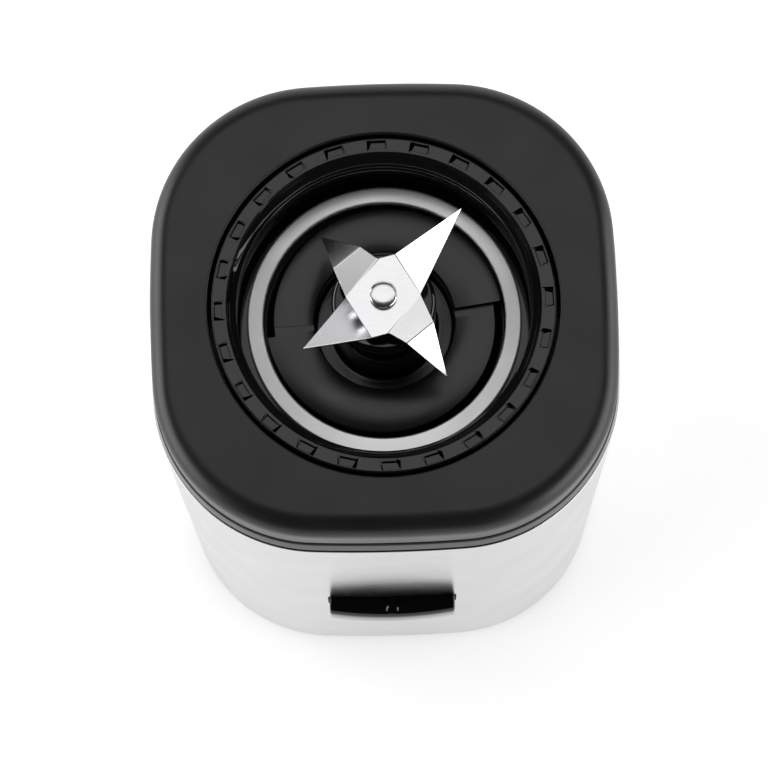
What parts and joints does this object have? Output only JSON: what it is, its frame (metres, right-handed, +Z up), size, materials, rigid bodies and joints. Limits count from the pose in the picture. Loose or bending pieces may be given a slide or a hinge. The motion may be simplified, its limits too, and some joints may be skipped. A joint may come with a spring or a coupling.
{
  "type": "countertop blender base",
  "caption": "Compact rounded-square countertop blender base with brushed sleeve, dark cap, front run lever and a lift-out blade unit with four wings.",
  "frame": {"origin": "centre of the footprint on the worktop, under the feet", "axes": "+Z up along the motor shaft, -Y towards the front with the run lever, +X to the right seen from the front"},
  "size_m": [0.128, 0.1366, 0.2025],
  "materials": {
    "stainless_sleeve": "brushed, vertical grain",
    "soft_black": "fine matte, soft touch",
    "gloss_black": "high gloss",
    "satin_black": "satin moulded plastic",
    "grey_plastic": "glass-filled nylon, matte",
    "black_rubber": "matte rubber",
    "grey_silicone": "food-grade silicone, satin",
    "red_rubber": "matte rubber",
    "zinc_steel": "zinc plated",
    "spring_steel": "drawn wire",
    "blade_steel": "fine satin, ground edges",
    "cast_aluminium": "die cast, matte",
    "laminated_steel": "stacked laminations",
    "enamelled_copper": "enamelled winding wire",
    "commutator_copper": "turned copper",
    "sintered_bronze": "sintered, oily",
    "brass": "stamped brass",
    "carbon": "pressed carbon",
    "ivory_plastic": "moulded nylon",
    "yellow_film": "film capacitor case",
    "red_plastic": "moulded acetal",
    "wire_insulation": "silicone insulation"
  },
  "bodies": {
    "base": {"steel_sleeve": "stainless_sleeve", "top_cap": "soft_black", "cap_trim_ring": "gloss_black", "seat_tub": "satin_black", "inner_frame": "grey_plastic", "base_plate": "satin_black", "rubber_feet": "black_rubber", "base_screws": "zinc_steel", "cap_screws": "zinc_steel", "cord_gland": "black_rubber", "terminal_block": "ivory_plastic", "suppression_capacitor": "yellow_film", "stator_core": "laminated_steel", "field_coils": "enamelled_copper", "upper_bracket": "cast_aluminium", "lower_bracket": "cast_aluminium", "bracket_screws": "zinc_steel", "motor_mounts": "black_rubber", "mount_screws": "zinc_steel", "brush_holders": "brass", "carbon_brushes": "carbon", "brush_springs": "spring_steel", "upper_bearing_outer": "zinc_steel", "bearing_balls": "zinc_steel", "lower_bush": "sintered_bronze", "fan_shroud": "satin_black", "switch_bracket": "grey_plastic", "run_switch": "satin_black", "lever_pin": "zinc_steel", "lever_springs": "spring_steel", "safety_switch": "satin_black", "safety_spring": "spring_steel", "lead_wires": "wire_insulation"},
    "motor_rotor": {"motor_shaft": "spring_steel", "upper_bearing_inner": "zinc_steel", "armature_core": "laminated_steel", "armature_winding": "enamelled_copper", "commutator": "commutator_copper", "cooling_fan": "ivory_plastic", "drive_coupling": "satin_black"},
    "run_lever": {"run_lever": "gloss_black"},
    "switch_button": {"switch_button": "red_plastic"},
    "safety_pin": {"safety_pin": "ivory_plastic"},
    "blade_unit": {"blade_holder": "gloss_black", "jar_seal": "grey_silicone", "hub_cap": "gloss_black", "shaft_bush": "sintered_bronze", "shaft_seal": "red_rubber"},
    "blade_rotor": {"blade_shaft": "blade_steel", "cutting_blade": "blade_steel", "blade_spacer": "blade_steel", "retaining_clip": "spring_steel", "driven_coupling": "satin_black"}
  },
  "joints": [
    {"name": "motor_spin", "type": "hinge", "parent": "base", "child": "motor_rotor", "pos_m": [0, 0, 0.1], "axis": [0, 0, 1], "continuous": true},
    {"name": "lever_press", "type": "hinge", "parent": "base", "child": "run_lever", "pos_m": [0, -0.04798, 0.0757], "axis": [1, 0, 0], "range_deg": [0, 6], "stiffness_Nm_per_rad": 0.5, "springref_deg": -5.73, "deforming": ["lever_springs"]},
    {"name": "button_press", "type": "slide", "parent": "base", "child": "switch_button", "axis": [0, 0, -1], "range_m": [0, 0.0012]},
    {"name": "pin_rise", "type": "slide", "parent": "base", "child": "safety_pin", "axis": [0, 0, 1], "range_m": [0, 0.003], "deforming": ["safety_spring"]},
    {"name": "blade_lift", "type": "slide", "parent": "base", "child": "blade_unit", "axis": [0, 0, 1], "range_m": [0, 0.075]},
    {"name": "blade_spin", "type": "hinge", "parent": "blade_unit", "child": "blade_rotor", "pos_m": [0, 0, 0.15], "axis": [0, 0, 1], "continuous": true}
  ],
  "couplings": [
    {"joint": "blade_spin", "follows": "motor_spin", "ratio": 1},
    {"joint": "button_press", "follows": "lever_press", "m_per_rad": 0.009},
    {"joint": "pin_rise", "follows": "blade_lift", "ratio": 0.04}
  ]
}
